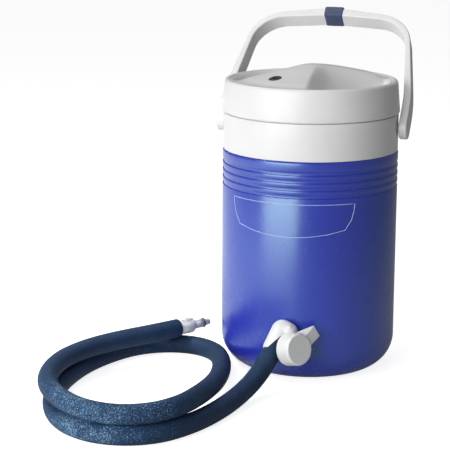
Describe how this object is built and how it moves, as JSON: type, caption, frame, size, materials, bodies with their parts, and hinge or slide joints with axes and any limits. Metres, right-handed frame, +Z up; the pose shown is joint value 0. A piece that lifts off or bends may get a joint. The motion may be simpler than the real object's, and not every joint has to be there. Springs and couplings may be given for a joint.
{
  "type": "hot cold therapy machine",
  "caption": "Insulated jug with a lift-off pump lid, carrying handle, tap and foam-covered hose that ends in a quick connector.",
  "frame": {"origin": "on the jug's axis at the floor it stands on", "axes": "+Z up along the jug's axis, front with the panel outline and the tap towards -Y, X to the right"},
  "size_m": [0.355, 0.4789, 0.4031],
  "materials": {
    "shell_blue": "satin moulded polyethylene, royal blue",
    "cavity_foam": "rigid foam",
    "liner_white": "satin white",
    "white_plastic": "smooth white moulding",
    "plug_grey": "satin grey",
    "band_navy": "soft matt navy",
    "seal_grey": "matt",
    "seal_black": "matt",
    "screw_steel": "plain",
    "motor_steel": "plain",
    "black_plastic": "satin black",
    "board_green": "solder mask",
    "hose_foam": "matt closed-cell foam, denim navy",
    "tube_clear": "smooth, milky",
    "fitting_grey": "satin light grey"
  },
  "bodies": {
    "jug": {"outer_shell": "shell_blue", "foam_insulation": "cavity_foam", "inner_liner": "liner_white", "fill_plug": "plug_grey", "neck_collar": "white_plastic", "handle_pivot": "white_plastic", "tap_body": "white_plastic", "tap_washer_outer": "seal_black", "tap_washer_inner": "seal_black", "tap_nut": "white_plastic", "tap_gland_ring": "white_plastic", "hose_sleeve": "hose_foam", "hose_tube": "tube_clear", "coupling_collar": "fitting_grey", "coupling_insert": "fitting_grey", "coupling_oring": "seal_black"},
    "bail": {"bail_handle": "white_plastic", "grip_band": "band_navy"},
    "lid": {"lid_shell": "white_plastic", "lid_floor": "liner_white", "lid_gasket": "seal_grey", "lid_screws": "screw_steel", "power_socket": "black_plastic", "circuit_board": "board_green", "pump_housing": "black_plastic", "pump_cover": "screw_steel", "pump_motor": "motor_steel", "check_valve": "seal_grey", "vent_coil": "black_plastic"},
    "rotor": {"pump_rotor": "screw_steel"},
    "plunger": {"vent_plunger": "screw_steel"},
    "valve": {"tap_knob": "white_plastic", "tap_plug": "plug_grey", "tap_oring": "seal_black"},
    "latch": {"latch_button": "fitting_grey"}
  },
  "joints": [
    {"name": "bail_swing", "type": "hinge", "parent": "jug", "child": "bail", "pos_m": [0, 0.008, 0.2796], "axis": [1, 0, 0], "range_deg": [-84, 170]},
    {"name": "lid_lift", "type": "slide", "parent": "jug", "child": "lid", "axis": [0, 0, 1], "range_m": [0, 0.045]},
    {"name": "pump_spin", "type": "hinge", "parent": "lid", "child": "rotor", "pos_m": [0, 0, 0.29], "axis": [0, 0, 1], "continuous": true},
    {"name": "vent_lift", "type": "slide", "parent": "lid", "child": "plunger", "axis": [0, 0, 1], "range_m": [0, 0.0015], "stiffness_N_per_m": 200, "springref_m": -0.004},
    {"name": "tap_turn", "type": "hinge", "parent": "jug", "child": "valve", "pos_m": [-0.001, -0.1159, 0.0462], "axis": [-0.8013, 0.561, -0.2079], "range_deg": [0, 90]},
    {"name": "latch_press", "type": "slide", "parent": "jug", "child": "latch", "axis": [0, 0, -1], "range_m": [0, 0.0012], "stiffness_N_per_m": 800, "springref_m": -0.0008}
  ]
}
